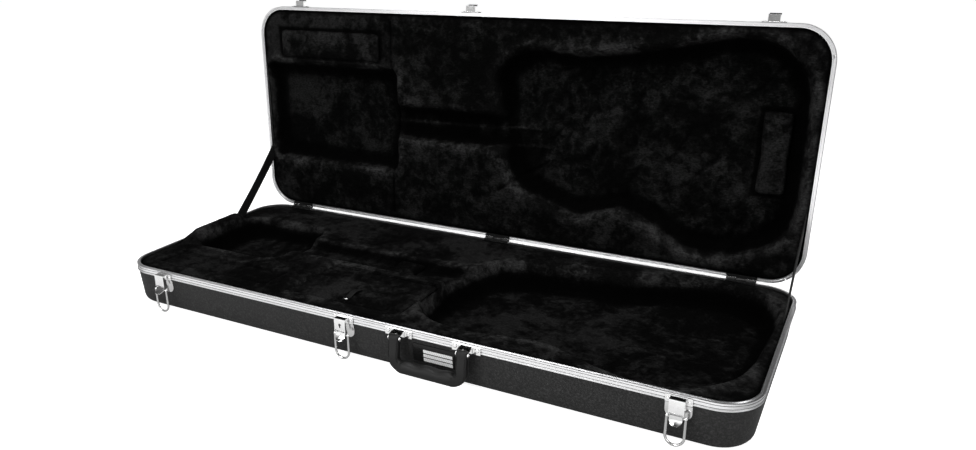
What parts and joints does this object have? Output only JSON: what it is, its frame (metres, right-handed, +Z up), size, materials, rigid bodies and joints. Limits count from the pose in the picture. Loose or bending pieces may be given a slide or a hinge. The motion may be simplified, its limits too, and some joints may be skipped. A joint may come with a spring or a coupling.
{
  "type": "guitar case",
  "caption": "Hard-shell electric guitar case, lid open, plush lined, aluminium framed, with draw latches, carry handle and an accessory compartment.",
  "frame": {"origin": "centre of the flat bottom of the base", "axes": "+X along the case towards the body end, +Z up, -Y towards the latches and handle"},
  "size_m": [1.121, 0.5224, 0.5139],
  "materials": {
    "shell": "textured",
    "frame": "satin",
    "plush": "crushed plush",
    "webbing": "woven",
    "hinge": "satin black",
    "handle": "moulded",
    "plate": "gloss black",
    "bars": "brushed",
    "lock": "satin",
    "steel": "zinc plated",
    "chrome": "polished"
  },
  "bodies": {
    "base": {"base_frame": "frame", "base_liner": "plush", "base_shell": "shell", "compartment_hinge": "webbing", "end_pad": "plush", "handle_bracket_left": "chrome", "handle_bracket_right": "chrome", "handle_pins": "chrome", "handle_rivets": "chrome", "hinge_base_leaf_centre": "hinge", "hinge_base_leaf_left": "hinge", "hinge_base_leaf_right": "hinge", "hinge_pins": "hinge", "hinge_rivets_base": "hinge", "id_plate": "plate", "id_plate_bars": "bars", "latch_pins": "chrome", "latch_plate_centre": "chrome", "latch_plate_left": "chrome", "latch_plate_right": "chrome", "latch_rivets": "chrome", "lock_barrel": "lock", "neck_cradle": "plush", "strap_anchors_base": "steel", "strap_left": "webbing", "strap_right": "webbing"},
    "lid": {"catch_rivets": "chrome", "hinge_lid_leaf_centre": "hinge", "hinge_lid_leaf_left": "hinge", "hinge_lid_leaf_right": "hinge", "hinge_rivets_lid": "hinge", "lid_catch_centre": "chrome", "lid_catch_left": "chrome", "lid_catch_right": "chrome", "lid_frame": "frame", "lid_liner": "plush", "lid_pad_end": "plush", "lid_pad_front": "plush", "lid_shell": "shell", "strap_anchors_lid": "steel"},
    "handle": {"handle": "handle"},
    "lock": {"lock_plug": "lock"},
    "compartment": {"compartment_lid": "plush", "pull_tab": "webbing", "tab_rivet": "chrome"},
    "lever_left": {"latch_lever_left": "chrome"},
    "bail_left": {"latch_bail_left": "chrome"},
    "lever_centre": {"latch_lever_centre": "chrome"},
    "bail_centre": {"latch_bail_centre": "chrome"},
    "lever_right": {"latch_lever_right": "chrome"},
    "bail_right": {"latch_bail_right": "chrome"}
  },
  "joints": [
    {"name": "lid_hinge", "type": "hinge", "parent": "base", "child": "lid", "pos_m": [0.002, 0.21425, 0.0742], "axis": [-1, 0, 0], "range_deg": [-91.4, 0], "deforming": ["strap_left", "strap_right"]},
    {"name": "handle_swing", "type": "hinge", "parent": "base", "child": "handle", "pos_m": [0.096, -0.225, 0.0635], "axis": [-1, 0, 0], "range_deg": [0, 100]},
    {"name": "compartment_hinge_line", "type": "hinge", "parent": "base", "child": "compartment", "pos_m": [-0.1, -0.0365, 0.071], "axis": [-1, 0, 0], "range_deg": [0, 100], "deforming": ["compartment_hinge"]},
    {"name": "lock_turn", "type": "hinge", "parent": "base", "child": "lock", "pos_m": [-0.064, -0.22, 0.062], "axis": [0, -1, 0], "range_deg": [0, 90]},
    {"name": "lever_left_lift", "type": "hinge", "parent": "base", "child": "lever_left", "pos_m": [-0.457, -0.221, 0.0505], "axis": [1, 0, 0], "range_deg": [-55, 0]},
    {"name": "bail_left_swing", "type": "hinge", "parent": "lever_left", "child": "bail_left", "pos_m": [-0.457, -0.2231, 0.04489], "axis": [-1, 0, 0], "range_deg": [0, 179]},
    {"name": "lever_centre_lift", "type": "hinge", "parent": "base", "child": "lever_centre", "pos_m": [-0.064, -0.221, 0.0505], "axis": [1, 0, 0], "range_deg": [-75, 0]},
    {"name": "bail_centre_swing", "type": "hinge", "parent": "lever_centre", "child": "bail_centre", "pos_m": [-0.064, -0.22105, 0.04451], "axis": [-1, 0, 0], "range_deg": [0, 179]},
    {"name": "lever_right_lift", "type": "hinge", "parent": "base", "child": "lever_right", "pos_m": [0.463, -0.221, 0.0505], "axis": [1, 0, 0], "range_deg": [-90, 0]},
    {"name": "bail_right_swing", "type": "hinge", "parent": "lever_right", "child": "bail_right", "pos_m": [0.463, -0.2195, 0.0447], "axis": [-1, 0, 0], "range_deg": [0, 179]}
  ]
}
